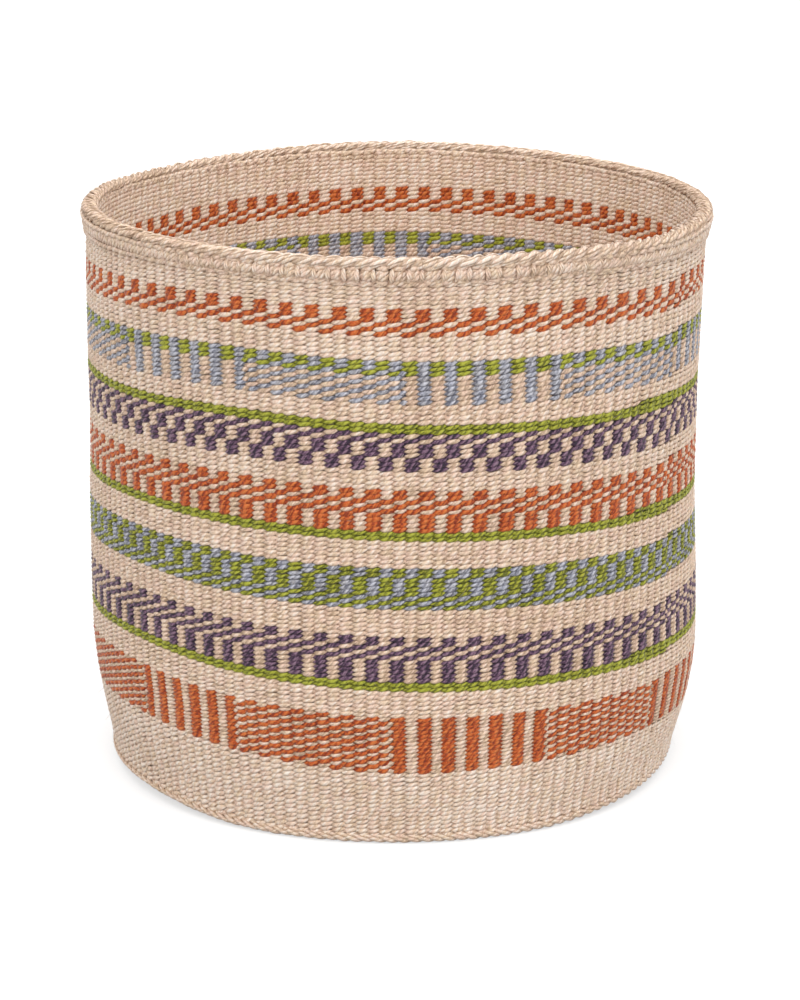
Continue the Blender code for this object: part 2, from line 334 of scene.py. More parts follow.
class Yarns:
    """Tubes along given paths, gathered into one mesh with what its finish needs."""

    def __init__(self, sides=YARN_SIDES):
        self.sides = sides
        self.points = []
        self.faces = []
        self.spans = []
        self.tones = []
        self.tucked_shades = []
        self.caps = []
        self.count = 0

    def lay(self, path, outward, half_height, half_depth, tone=0.0, tucked_shade=0.0):
        """A tube along path. outward gives the way its flat side faces at each point, and the last
        value how much painted shade it gets.
        """
        steps = len(path)
        along = np.gradient(path, axis=0)
        along /= np.linalg.norm(along, axis=1)[:, None]
        face = outward - (outward * along).sum(1)[:, None] * along
        face /= np.linalg.norm(face, axis=1)[:, None]
        upward = np.cross(face, along)
        half_height = np.broadcast_to(half_height, steps)
        half_depth = np.broadcast_to(half_depth, steps)
        corner = (np.arange(self.sides) + 0.5) / self.sides * TURN
        high = half_height[:, None, None] * np.cos(corner)[None, :, None] * upward[:, None, :]
        deep = half_depth[:, None, None] * np.sin(corner)[None, :, None] * face[:, None, :]
        self.points.append((path[:, None, :] + high + deep).reshape(-1, 3))
        index = self.count + np.arange(steps * self.sides).reshape(steps, self.sides)
        following = np.roll(index, -1, axis=1)
        quads = np.stack([index[:-1], following[:-1], following[1:], index[1:]], 2)
        self.faces.append(quads.reshape(-1, 4))
        travelled = np.append(0, np.cumsum(np.linalg.norm(np.diff(path, axis=0), axis=1)))
        self.spans.append(np.stack([travelled[:-1], travelled[1:]], 1))
        self.tones.append(np.repeat(np.broadcast_to(tone, steps), self.sides))
        self.tucked_shades.append(np.repeat(np.broadcast_to(tucked_shade, steps), self.sides))
        self.caps.append((index[0][::-1], index[-1]))
        self.count += steps * self.sides

    def piece(self, name, finish, slot, *nodes):
        """The object for these yarns, dressed and riding on the basket."""
        points = np.concatenate(self.points)
        quads = np.concatenate(self.faces)
        spans = np.concatenate(self.spans)
        mesh = bpy.data.meshes.new(name)
        ends = np.concatenate([cap for pair in self.caps for cap in pair])
        corners = np.concatenate([quads.ravel(), ends])
        cap_starts = quads.size + np.arange(2 * len(self.caps)) * self.sides
        starts = np.append(np.arange(len(quads)) * 4, cap_starts)
        mesh.vertices.add(len(points))
        mesh.vertices.foreach_set("co", points.astype(np.float32).ravel())
        mesh.loops.add(len(corners))
        mesh.loops.foreach_set("vertex_index", corners.astype(np.int32))
        mesh.polygons.add(len(starts))
        mesh.polygons.foreach_set("loop_start", starts.astype(np.int32))
        mesh.update(calc_edges=True)
        mesh.shade_smooth()
        tone = mesh.attributes.new("tone", "FLOAT", "POINT")
        tone.data.foreach_set("value", np.concatenate(self.tones).astype(np.float32))
        tucked_shade = mesh.attributes.new("tucked_shade", "FLOAT", "POINT")
        tucked_shade.data.foreach_set("value", np.concatenate(self.tucked_shades).astype(np.float32))
        self.add_maps(mesh, spans, len(ends))
        mesh.materials.append(finish)
        made = bpy.data.objects.new(name, mesh)
        bpy.context.scene.collection.objects.link(made)
        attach(made, "root")
        if nodes:
            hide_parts(*nodes)
        return made

    def add_maps(self, mesh, spans, end_corners):
        """Two maps: one along and round the yarn for its finish, one without overlaps for baking."""
        sides = self.sides
        segments = len(spans)
        side = np.arange(sides) / sides
        low = np.broadcast_to(side, (segments, sides))
        high = low + 1 / sides
        begin = np.broadcast_to(spans[:, :1] / MM, (segments, sides))
        end = np.broadcast_to(spans[:, 1:] / MM, (segments, sides))
        yarn = np.stack([begin, low, begin, high, end, high, end, low], 2).reshape(-1, 2)
        per_line = max(1, int(math.sqrt(segments * sides)))
        lines = math.ceil(segments / per_line)
        place = np.arange(segments)
        left = ((place % per_line) / per_line)[:, None] + np.zeros(sides)
        right = left + 1 / per_line
        line = (place // per_line)[:, None]
        bottom = (line + side) / lines
        top = bottom + 1 / sides / lines
        flat = np.stack([left, bottom, left, top, right, top, right, bottom], 2).reshape(-1, 2)
        spare = np.zeros((end_corners, 2))
        for name, values in (("Yarn", yarn), ("OFBake", flat)):
            layer = mesh.uv_layers.new(name=name)
            layer.data.foreach_set("uv", np.concatenate([values, spare]).astype(np.float32).ravel())


def stitch_noise(count, size, path):
    """A value that wanders from stitch to stitch."""
    return np.interp(path, np.arange(count) + 0.5, dice.normal(0, size, count))


def column_of(letter):
    return 0 if letter == "A" else 1


def marking_phase(rows, block, first_stitch, last_stitch):
    """Half turns of the marking yarn at each stitch of a band, from the seam, leftwards and up."""
    number = np.arange(first_stitch, last_stitch)
    warp = math.floor(SEAM_WARP) - number % WARPS
    row = np.minimum(number // WARPS, len(rows) - 1)
    columns = np.array([column_of(letter) for letter in rows])[row]
    if block:
        other_rows, bars = block
        other = np.array([column_of(letter) for letter in other_rows])[row]
        in_bars = np.zeros(len(number), bool)
        for first, width in bars:
            in_bars |= (warp - first) % WARPS < width
        columns = np.where(in_bars, columns, other)
    extra = np.append(0, np.cumsum(np.abs(np.diff(columns))))
    start = (warp[0] + columns[0]) % 2
    return start - np.arange(len(number)) - extra


def full_swing(side):
    """A yarn's way from one side of the warps to the other: steep between them, flat over them."""
    return np.sign(side) * (1 - (1 - np.abs(side)) ** CROSSING_STEEPNESS)


def yarn_sizes(fullness):
    """Half height and half depth of a weft yarn, full over a warp and squeezed at a crossing."""
    half_height = YARN_HALF_HEIGHT * (SQUEEZE_SHARE + (1 - SQUEEZE_SHARE) * fullness)
    half_depth = YARN_HALF_DEPTH + CROSSING_BULGE * (1 - fullness)
    return half_height, half_depth


def row_stretch(warp, height):
    """How much the wandering rows are pulled apart or pressed together at a place."""
    angle = warp_angle(warp, height)
    reach = 6 * MM
    return 1 + (wander(angle, height + reach) - wander(angle, height - reach)) / (2 * reach)


def thin_ends(path, begin, end):
    """1 along a yarn and less where it starts and ends among the others."""
    near = np.minimum(path - begin, end - path)
    return 1 - END_THINNING + END_THINNING * np.clip(near / END_WARPS, 0, 1)


def twine(yarns, phase, first_stitch, begin, end, bottom, ground, tone, thickness=1.0, lead=0.0):
    """One of the two yarns of a band between two stitches.

    ground is 0 for the marking yarn and 1 for the one under it."""
    path = np.linspace(begin, end, (end - begin) * STEPS_PER_WARP + 1)
    centres = first_stitch + np.arange(len(phase)) + 0.5
    half_turns = np.interp(path, centres, phase)
    half_turns += np.clip(centres[0] - path, 0, None) - np.clip(path - centres[-1], 0, None)
    swing = math.pi * (half_turns + ground)
    stitches = len(phase) + 1
    count = path - first_stitch
    side = np.cos(swing)
    side = side + lead * (1 - side * side)
    inside = np.clip(-side, 0, 1)
    fullness = np.abs(side) ** np.where(side > 0, OUTSIDE_NARROWING, INSIDE_NARROWING)
    height = bottom + ROW_PITCH * path / WARPS
    stretch = row_stretch(SEAM_WARP - path, height)
    height += CLIMB * stretch * np.sin(swing) * (1 + stitch_noise(stitches, CLIMB_SPREAD, count))
    height += stitch_noise(stitches, HEIGHT_SPREAD, count)
    plump = 1 + stitch_noise(stitches, THICKNESS_SPREAD, count)
    plump = thickness * thin_ends(path, begin, end) * plump * (1 + INSIDE_THICKER * inside)
    out = SWING * full_swing(side) + stitch_noise(stitches, SWING_SPREAD, count)
    points, outward = on_wall(SEAM_WARP - path, height, out)
    half_height, half_depth = yarn_sizes(fullness)
    # Painted light makes the yarn paler inside the basket
    tone = tone + INSIDE_PAINTED_LIGHT * inside + stitch_noise(stitches, TONE_SPREAD, count)
    # Painted shade where the yarn is tucked in towards a crossing, less of it inside the basket
    tucked_shade = (1 - fullness) * np.where(side > 0, 1, INSIDE_TUCKED_SHADE)
    yarns.lay(points, outward, half_height * stretch * plump, half_depth, tone, tucked_shade)


class Value:
    """A number that changes over a surface, with Python's operators for its sums."""

    def __init__(self, recipe, socket):
        self.recipe = recipe
        self.socket = socket

    def sum_with(self, operation, first, second):
        return self.recipe.node("ShaderNodeMath", {"operation": operation}, {0: first, 1: second})

    def __add__(self, other):
        return self.sum_with("ADD", self, other)

    def __radd__(self, other):
        return self.sum_with("ADD", other, self)

    def __sub__(self, other):
        return self.sum_with("SUBTRACT", self, other)

    def __rsub__(self, other):
        return self.sum_with("SUBTRACT", other, self)

    def __mul__(self, other):
        return self.sum_with("MULTIPLY", self, other)

    def __rmul__(self, other):
        return self.sum_with("MULTIPLY", other, self)


class Recipe:
    """The nodes of a material or of the light around."""

    def __init__(self, tree):
        self.tree = tree

    def node(self, kind, settings=None, inputs=None, output=0):
        """Any node: its settings are set first, then its sockets take values or links."""
        made = self.tree.nodes.new(kind)
        for key, value in (settings or {}).items():
            setattr(made, key, value)
        for key, value in (inputs or {}).items():
            self.feed(made.inputs[key], value)
        return Value(self, made.outputs[output])

    def feed(self, socket, value):
        if isinstance(value, Value):
            self.tree.links.new(value.socket, socket)
        else:
            socket.default_value = value

    def wave(self, value):
        return self.node("ShaderNodeMath", {"operation": "SINE"}, {0: value})

    def whirl(self, value):
        return self.node("ShaderNodeMath", {"operation": "COSINE"}, {0: value})

    def mix(self, share, first, second):
        settings = {"data_type": "RGBA", "clamp_factor": True}
        return self.node("ShaderNodeMix", settings, {0: share, 6: first, 7: second}, output=2)

    def noise(self, place, scale, detail=3.0):
        return self.node("ShaderNodeTexNoise", {}, {"Vector": place, "Scale": scale, "Detail": detail})


class Finish(Recipe):
    """A material with its shader."""

    def __init__(self, name, roughness=0.6, specular=0.3, sheen=0.0):
        self.material = bpy.data.materials.new(name)
        self.material.use_nodes = True
        super().__init__(self.material.node_tree)
        self.shader = self.tree.nodes["Principled BSDF"]
        self.shader.inputs["Roughness"].default_value = roughness
        self.shader.inputs["Specular IOR Level"].default_value = specular
        self.shader.inputs["Sheen Weight"].default_value = sheen

    def set(self, socket, value):
        self.feed(self.shader.inputs[socket], value)


# A yarn's twist and fibres go by the mm along it, the grains of patches, painted glint specks and hues
# by the metre, and the shares say how far each shows in its tone, the plies as painted light and shade
YARN_TWIST = 1.1
FIBRE_STRETCH = 0.35
FIBRE_GRAIN = 1.3
PATCH_GRAIN = 45.0
GLINT_GRAIN = 1500.0
HUE_GRAIN = 260.0
FIBRE_SHARE = 3.2
PLY_LIGHT_SHADE_SHARE = 0.36
GLINT_SHARE = 1.6

# From where and how fast the hue drifts and the tone gets dark, from where and how fast painted shade
# darkens the edges between rows, and how much painted shade a tucked-in yarn gets
HUE_FROM = 0.36
HUE_RISE = 3.5
DARK_FROM = -0.05
EDGE_SHADE_FROM = 0.42
EDGE_SHADE_RISE = 1.4
TUCK_SHADE = 0.85


def yarn_finish(name, colours, contrast):
    """Twisted plant yarn: two plies, fine fibres along them, a tone of its own in every stitch."""
    recipe = Finish(name, specular=0.3, sheen=0.12)
    body, tint, pale, dark = [(*colour, 1) for colour in colours]
    map_at = {"Vector": recipe.node("ShaderNodeUVMap", {"uv_map": "Yarn"})}
    along = recipe.node("ShaderNodeSeparateXYZ", {}, map_at, output="X")
    about = recipe.node("ShaderNodeSeparateXYZ", {}, map_at, output="Y")
    turn = about * TURN + along * YARN_TWIST
    fibre_place = {0: along * FIBRE_STRETCH, 1: recipe.wave(turn), 2: recipe.whirl(turn)}
    fibres = recipe.noise(recipe.node("ShaderNodeCombineXYZ", {}, fibre_place), FIBRE_GRAIN, 5.0)
    plies = recipe.wave(turn * 2 + (fibres - 0.5) * 5)
    tone = recipe.node("ShaderNodeAttribute", {"attribute_name": "tone"}, output="Fac")
    tucked_shade = recipe.node("ShaderNodeAttribute", {"attribute_name": "tucked_shade"}, output="Fac")
    place = recipe.node("ShaderNodeTexCoord", output="Object")
    patches = recipe.noise(place, PATCH_GRAIN)
    glint_specks = recipe.noise(place, GLINT_GRAIN, 2.0)
    hue = recipe.noise(place, HUE_GRAIN, 2.0)
    # The ply wave is painted light and shade along the twist, and the specks are painted glints with
    # some fine dark grain
    streaks = (fibres - 0.5) * FIBRE_SHARE + plies * PLY_LIGHT_SHADE_SHARE + (glint_specks - 0.5) * GLINT_SHARE
    lightness = tone + (patches - 0.5) + streaks * contrast
    plain = recipe.mix((hue - HUE_FROM) * HUE_RISE, body, tint)
    lighter = recipe.mix(lightness, plain, pale)
    darker = recipe.mix(DARK_FROM - lightness, lighter, dark)
    # Painted shade at the yarn's top and bottom edges, between rows
    row_edge_shade = recipe.whirl(about * TURN + math.pi / YARN_SIDES)
    shaded = recipe.mix((row_edge_shade * row_edge_shade - EDGE_SHADE_FROM) * EDGE_SHADE_RISE, darker, dark)
    # Painted shade where the yarn is tucked in
    recipe.set("Base Color", recipe.mix(tucked_shade * tucked_shade * TUCK_SHADE, shaded, dark))
    recipe.set("Roughness", 0.55 + (fibres - 0.5) * 0.5)
    relief = fibres * 1.2 + plies * 0.45
    bump = recipe.node("ShaderNodeBump", {}, {"Strength": 0.9, "Distance": 0.3 * MM, "Height": relief})
    recipe.set("Normal", bump)
    return recipe.material


FINISHES = {
    "natural": yarn_finish("natural_yarn", NATURAL, 1.0),
    "orange": yarn_finish("orange_yarn", ORANGE, 2.2),
    "green": yarn_finish("green_yarn", GREEN, 2.0),
    "purple": yarn_finish("purple_yarn", PURPLE, 2.7),
    "blue": yarn_finish("blue_yarn", BLUE, 1.6),
}


def dress(yarns, name, colour, *nodes):
    return yarns.piece(name, FINISHES[colour], colour + "_fibre", *nodes)


def weave_band(node, marking, ground, rows, block, bottom, late):
    """A band's yarns: its marking colour, and the ground colour that shows between.

    A green stripe runs on over its own start, and the band above it starts that much later."""
    count = len(rows)
    one_colour = marking == ground
    paler = PALE_BANDS.get(node, 0)
    begin = STRIPE_OVERLAP if late else 0
    end = count * WARPS + (STRIPE_OVERLAP if node.startswith("green_stripe") else 0)
    phase = marking_phase(rows, block, begin, end)
    tone = dice.normal(0, BAND_TONE_SPREAD) + (paler if marking == "natural" else 0)
    lead = 0 if one_colour or node == SEEN_INSIDE else LEAD[marking]
    over = Yarns()
    twine(over, phase, begin, begin, end, bottom, 0, tone, THICKNESS[marking], lead)
    if one_colour and count < SPLIT_ROWS:
        twine(over, phase, begin, begin, end, bottom, 1, tone, THICKNESS[ground])
        dress(over, node + "_yarns", marking, node)
        return
    dress(over, node + "_" + marking + "_yarn", marking, node)
    split = (count - GREEN_TOP_ROWS) * WARPS if node == GREEN_TOPPED else end
    shade = paler - (0 if one_colour else GROUND_SHADE)
    under = Yarns()
    twine(under, phase, begin, begin, split, bottom, 1, shade, THICKNESS[ground], -lead)
    dress(under, node + "_" + ground + ("_ground_yarn" if one_colour else "_yarn"), ground)
    if split < end:
        upper = Yarns()
        twine(upper, phase, begin, split, end, bottom, 1, tone, THICKNESS["green"], -lead)
        dress(upper, node + "_green_yarn", "green")


def weave_wall():
    bottom = WALL_BOTTOM
    late = False
    for node, marking, ground, rows, block in BANDS:
        weave_band(node, marking, ground, rows, block, bottom, late)
        bottom += len(rows) * ROW_PITCH
        late = node.startswith("green_stripe")


# The base: the radii from which a number of warps spreads out, the edges of its rounds of weft,
# points from warp to warp, corners round a yarn, and how much flatter it is than on the wall
BASE_SPREADS = ((8 * MM, 19), (23 * MM, 38), (46 * MM, 76), (90 * MM, 152))
BASE_ROUNDS = (8 * MM, 38 * MM, 82 * MM, BASE_EDGE)
BASE_STEPS = 5
BASE_SIDES = 5
BASE_FLATTER = 0.97
DOWN = (0.0, 0.0, -1.0)


def base_warps(radius):
    counts = [count for start, count in BASE_SPREADS if radius >= start]
    return counts[-1]


def weave_base_rows(name, inner, outer, *nodes):
    """Rings of two-yarn weft on the base, under and over its warps."""
    for ground, label in ((0, "first"), (1, "second")):
        yarns = Yarns(BASE_SIDES)
        radius = inner
        while radius < outer - ROW_PITCH / 2:
            warps = base_warps(radius)
            path = np.linspace(0, warps, warps * BASE_STEPS + 1)
            swing = math.pi * (path + ground) * (1 if warps % 2 == 0 else (warps - 1) / warps)
            side = np.cos(swing)
            half_height, half_depth = yarn_sizes(np.abs(side) ** OUTSIDE_NARROWING)
            run = radius + ROW_PITCH * path / warps + CLIMB * np.sin(swing)
            run += stitch_noise(warps + 1, HEIGHT_SPREAD, path)
            angle = warp_angle(SEAM_WARP - path / warps * WARPS, np.zeros_like(path))
            depth = BASE_MIDDLE - SWING * full_swing(side)
            points = on_base(angle, run, depth)
            tone = stitch_noise(warps + 1, 0.12, path)
            downward = np.tile(DOWN, (len(path), 1))
            # The last value is painted shade where the yarn is tucked in towards a crossing
            yarns.lay(points, downward, half_height, half_depth * BASE_FLATTER, tone, 1 - np.abs(side))
            radius += ROW_PITCH
        dress(yarns, name + "_" + label + "_yarn", "natural", *(nodes if ground == 0 else ()))


# The crossed cords in the middle of the base: how many each way, their spacing and half length,
# how far they go over and under each other, and their half sizes
CROSSED_CORDS = 7
CROSSED_SPACING = 2.3 * MM
CROSSED_REACH = 9.5 * MM
CROSSED_LIFT = 1.1 * MM
CROSSED_HALF_WIDTH = 1.12 * MM
CROSSED_HALF_DEPTH = 0.72 * MM


def weave_start():
    yarns = Yarns()
    run = np.linspace(-CROSSED_REACH, CROSSED_REACH, 57)
    downward = np.tile(DOWN, (len(run), 1))
    for across in (0, 1):
        for number in range(CROSSED_CORDS):
            place = (number - (CROSSED_CORDS - 1) / 2) * CROSSED_SPACING
            weave = np.cos(math.pi * (run / CROSSED_SPACING + number + across))
            rise = BASE_MIDDLE + weave * CROSSED_LIFT
            line = np.full_like(run, place)
            points = np.stack([run, line, rise] if across else [line, run, rise], 1)
            tone = dice.normal(0, 0.1)
            # The last value is a little painted shade all along the cords
            yarns.lay(points, downward, CROSSED_HALF_WIDTH, CROSSED_HALF_DEPTH, tone, 0.15)
    dress(yarns, "base_start_cords", "natural", "base_start")


def weave_base():
    weave_start()
    middle, first_edge, second_edge, row_edge_shade = BASE_ROUNDS
    weave_base_rows("base_start", middle, first_edge)
    weave_base_rows("base_weft_inner", first_edge, second_edge, "base_weft_inner")
    weave_base_rows("base_weft_outer", second_edge, row_edge_shade, "base_weft_outer")


# The warps: the radius where they turn up, the height where they stand upright, how far they go
# above the wall, points along the base and up the wall, and half sizes
WARP_CORNER = 121 * MM
WARP_UPRIGHT = 6 * MM
WARP_TOP = 5 * MM
WARP_BASE_POINTS = 6
WARP_WALL_POINTS = 34
WARP_HALF_WIDTH = 1.35 * MM
WARP_HALF_DEPTH = 0.75 * MM


def raise_warps():
    """The warps: out from the start between the two sides of the base weft, up the wall to the rim."""
    yarns = Yarns()
    heights = np.linspace(WARP_UPRIGHT, WALL_TOP + WARP_TOP, WARP_WALL_POINTS)
    level = np.full(WARP_BASE_POINTS, BASE_MIDDLE)
    downward = np.tile(DOWN, (WARP_BASE_POINTS, 1))
    for warp in range(WARPS):
        spread = [start for start, count in BASE_SPREADS if warp % (WARPS // count) == 0][0]
        angle = warp_angle(np.array([float(warp)]), np.zeros(1))[0]
        radii = np.linspace(spread, WARP_CORNER, WARP_BASE_POINTS)
        flat = on_base(np.full(WARP_BASE_POINTS, angle), radii, level)
        wall, outward = on_wall(np.full(WARP_WALL_POINTS, float(warp)), heights)
        path = np.concatenate([flat, wall])
        facing = np.concatenate([downward, outward])
        # The last value is painted shade all along the warps
        yarns.lay(path, facing, WARP_HALF_WIDTH, WARP_HALF_DEPTH, dice.normal(0, 0.1), 0.5)
    dress(yarns, "warp_cords", "natural", "warps")


def ring_path(steps_per_warp):
    return np.linspace(0, WARPS, WARPS * steps_per_warp + 1)


def round_noise(size, path):
    """A value that wanders from warp to warp on a yarn that goes round once."""
    return stitch_noise(WARPS + 1, size, path)


# The ridge row at the foot: three thick yarns, each over two warps and under one. How far they
# swing out and climb, their half sizes, and how much lower they get where they are under.
RIDGE_YARNS = 3
RIDGE_RADIUS = 126.4 * MM
RIDGE_MIDDLE = 2.25 * MM
RIDGE_SWING = 1.15 * MM
RIDGE_CLIMB = 1.0 * MM
RIDGE_HALF_HEIGHT = 1.1 * MM
RIDGE_HALF_DEPTH = 0.8 * MM
RIDGE_SQUEEZE = 0.3 * MM


def weave_foot_ridge():
    yarns = Yarns()
    path = ring_path(6)
    angle = warp_angle(path, np.zeros_like(path))
    outward = np.stack([np.sin(angle), -np.cos(angle), np.full_like(angle, -0.2)], 1)
    for strand in range(RIDGE_YARNS):
        swing = TURN * (np.round(WARPS / RIDGE_YARNS) / WARPS * path + strand / RIDGE_YARNS)
        side = np.cos(swing)
        sunk = np.clip(-side, 0, 1)
        height = RIDGE_MIDDLE - RIDGE_CLIMB * np.sin(swing) + round_noise(0.08 * MM, path)
        points = on_base(angle, RIDGE_RADIUS + RIDGE_SWING * side, height)
        half_height = (RIDGE_HALF_HEIGHT - RIDGE_SQUEEZE * sunk) * (1 + round_noise(0.06, path))
        tone = round_noise(0.1, path)
        # Painted shade where a ridge yarn goes under
        tucked_shade = np.clip(0.4 - side, 0, 1)
        yarns.lay(points, outward, half_height, RIDGE_HALF_DEPTH, tone, tucked_shade)
    dress(yarns, "foot_ridge_yarns", "natural", "foot_ridge")


# The rim: a rope of three bundles on the top row, and below it outside a bundle of level yarns that
# upright wraps hold to the last rows of weft
RIM_ROWS = 3
RIM_WRAPS = 135
LASHING_LOW, LASHING_HIGH = [corner.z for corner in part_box("rim_lashing")]
LASHING_MIDDLE = (LASHING_LOW + LASHING_HIGH) / 2
# How much the yarns of the rim differ in tone along their way
RIM_TONE_SPREAD = 0.16

# The level bundle: its yarns, how far out its middle is, how far they go round that middle up and
# out, their half sizes, and how unevenly they roll and stray up and down
LEVEL_YARNS = 5
LEVEL_MIDDLE = 2.3 * MM
LEVEL_RISE = 1.75 * MM
LEVEL_REACH = 1.0 * MM
LEVEL_HALF_HEIGHT = 1.05 * MM
LEVEL_HALF_DEPTH = 0.9 * MM
LEVEL_ROLL_SPREAD = 0.2
LEVEL_STRAY = 0.1 * MM

# What a wrap takes off these where it pinches the bundle, how wide and how suddenly it pinches, how
# much less it does so where the rim turns away, and how much further out the bundle is there
PINCHED_MIDDLE = 1.2 * MM
PINCHED_RISE = 0.5 * MM
PINCHED_HALF_HEIGHT = 0.25 * MM
PINCH_WIDTH = 0.6
PINCH_SHARPNESS = 1.5
PINCH_CALMER = 0.9
CALM_MIDDLE = 0.3 * MM

# Single yarns above and below the bundle: place out from the wall's middle, height, how far a wrap
# holds them in, and how far they stand proud where the rim turns away
GUARD_YARNS = (
    (2.2 * MM, LASHING_LOW - 0.6 * MM, 2.1 * MM, 0.6 * MM),
    (2.7 * MM, LASHING_HIGH + 0.3 * MM, 1.9 * MM, 1.4 * MM),
    (0.4 * MM, LASHING_HIGH + 0.6 * MM, 0, 0),
    (-1.5 * MM, LASHING_HIGH + 0.5 * MM, 0, 0),
)
# Their half sizes, how far out and how thick they get at every warp, and how they stray and differ
GUARD_HALF_HEIGHT = 1.15 * MM
GUARD_HALF_DEPTH = 0.95 * MM
GUARD_BULGE = 0.25 * MM
GUARD_SWELL = 0.2 * MM
GUARD_STRAY = 0.2 * MM
GUARD_TONE_SPREAD = 0.1

# A wrap: half its height, how far out the middle of its bend is and how far it stands out from there,
# how far round the bundle it goes, and how much tighter it lies at the sides
WRAP_RISE = 2.7 * MM
WRAP_MIDDLE = 1.0 * MM
WRAP_REACH = 3.05 * MM
WRAP_SWEEP = math.radians(112)
WRAP_TIGHTER = 1.6 * MM
# Its two plies: points along them, half sizes, turns round each other from end to end, and how far
# they do so in and out and, in warps, sideways
WRAP_POINTS = 19
WRAP_HALF_WIDTH = 0.7 * MM
WRAP_HALF_DEPTH = 0.66 * MM
WRAP_TURNS = 0.8
WRAP_TWIST = 0.22 * MM
WRAP_SWING = 0.075
# How much wraps differ in place and lean, both in warps, in size and in tone
WRAP_PLACE_SPREAD = 0.12
WRAP_LEAN_SPREAD = 0.05
WRAP_SIZE_SPREAD = 0.06
WRAP_TONE_SPREAD = 0.15


def calm_at(path, height):
    """1 where the rim turns away at the left and right, where it is smoother, and 0 at the front."""
    return np.sin(warp_angle(path, np.full_like(path, height))) ** 2


def facing_out(outward, turn):
    """Directions that turn from outward to up."""
    facing = outward * np.cos(turn)[:, None]
    facing[:, 2] = np.sin(turn)
    return facing


def weave_rim_rows():
    """The last rows of weft, behind the lashing."""
    rows = Yarns()
    last = RIM_ROWS * WARPS
    phase = marking_phase("A" * RIM_ROWS, None, 0, last)
    for ground in (0, 1):
        twine(rows, phase, 0, 0, last, WALL_TOP, ground, 0.0)
    dress(rows, "rim_lashing_inner_rows", "natural", "rim_lashing")


def near_wraps(path, calm):
    """1 under a wrap and 0 between two, and little anywhere where the rim is calm."""
    closeness = PINCH_WIDTH + np.cos(TURN * path * RIM_WRAPS / WARPS)
    return np.clip(closeness, 0, None) / (1 + PINCH_WIDTH) * (1 - PINCH_CALMER * calm)


def lay_level_bundle(yarns, path, calm, near):
    """The level yarns, which roll half a turn from wrap to wrap and are pinched under each."""
    pinch = near ** PINCH_SHARPNESS
    roll = math.pi * path * RIM_WRAPS / WARPS + round_noise(LEVEL_ROLL_SPREAD, path)
    for number in range(LEVEL_YARNS):
        turn = roll + TURN * number / LEVEL_YARNS
        rise = (LEVEL_RISE - PINCHED_RISE * pinch) * np.sin(turn)
        height = LASHING_MIDDLE + rise + round_noise(LEVEL_STRAY, path)
        middle = LEVEL_MIDDLE + CALM_MIDDLE * calm - PINCHED_MIDDLE * pinch
        points, outward = on_wall(path, height, middle + LEVEL_REACH * np.cos(turn))
        half_height = LEVEL_HALF_HEIGHT - PINCHED_HALF_HEIGHT * pinch
        tone = round_noise(RIM_TONE_SPREAD, path)
        # Painted shade where a wrap pinches the bundle, on the tops and bottoms of its yarns
        tucked_shade = np.clip(1.3 * near * np.abs(np.sin(turn)) ** 1.5, 0, 1)
        yarns.lay(points, outward, half_height, LEVEL_HALF_DEPTH, tone, tucked_shade)


def lay_guard_yarns(yarns, path, calm, near):
    """The single yarns above and below the bundle, which swell at every warp."""
    pinch = near ** PINCH_SHARPNESS
    for place, height, held, proud in GUARD_YARNS:
        lift = round_noise(GUARD_STRAY, path)
        swell = np.cos(TURN * path + height / MM)
        out = place - held * pinch + proud * calm + GUARD_BULGE * swell
        points, outward = on_wall(path, height + lift, out)
        half_height = GUARD_HALF_HEIGHT + GUARD_SWELL * swell
        tone = round_noise(GUARD_TONE_SPREAD, path) - 0.1
        # Painted shade, more where a wrap holds the yarn in
        tucked_shade = 0.15 + 0.4 * held / MM * near
        yarns.lay(points, outward, half_height, GUARD_HALF_DEPTH, tone, tucked_shade)


def tie_wraps(path, calm):
    """The upright wraps, each of two plies, unevenly placed, leaning and large."""
    yarns = Yarns()
    around = np.linspace(-1, 1, WRAP_POINTS)
    bend = around * WRAP_SWEEP
    # Painted shade towards the ends of a wrap, where it goes in under the bundle
    sunk = np.clip(np.abs(around) * 2.8 - 1.3, 0, 1)
    for wrap in range(RIM_WRAPS):
        place = wrap * WARPS / RIM_WRAPS + dice.normal(0, WRAP_PLACE_SPREAD)
        lean = dice.normal(0, WRAP_LEAN_SPREAD)
        size = 1 + dice.normal(0, WRAP_SIZE_SPREAD)
        tight = WRAP_TIGHTER * np.interp(place, path, calm)
        for ply in (0, 0.5):
            twist = TURN * (WRAP_TURNS / 2 * around + ply)
            sideways = place + WRAP_SWING * np.cos(twist) + lean * around
            fat = WRAP_TWIST * np.sin(twist)
            rise = LASHING_MIDDLE + (WRAP_RISE * size + fat) * np.sin(bend)
            out = WRAP_MIDDLE + (WRAP_REACH * size + fat - tight) * np.cos(bend)
            points, outward = on_wall(sideways, rise, out)
            facing = facing_out(outward, bend)
            tone = dice.normal(0, WRAP_TONE_SPREAD)
            yarns.lay(points, facing, WRAP_HALF_WIDTH, WRAP_HALF_DEPTH, tone, sunk)
    dress(yarns, "rim_lashing_wraps", "natural")


def weave_rim_lashing():
    weave_rim_rows()
    path = ring_path(8)
    calm = calm_at(path, LASHING_MIDDLE)
    near = near_wraps(path, calm)
    level = Yarns()
    lay_level_bundle(level, path, calm, near)
    lay_guard_yarns(level, path, calm, near)
    dress(level, "rim_lashing_level_yarns", "natural")
    tie_wraps(path, calm)


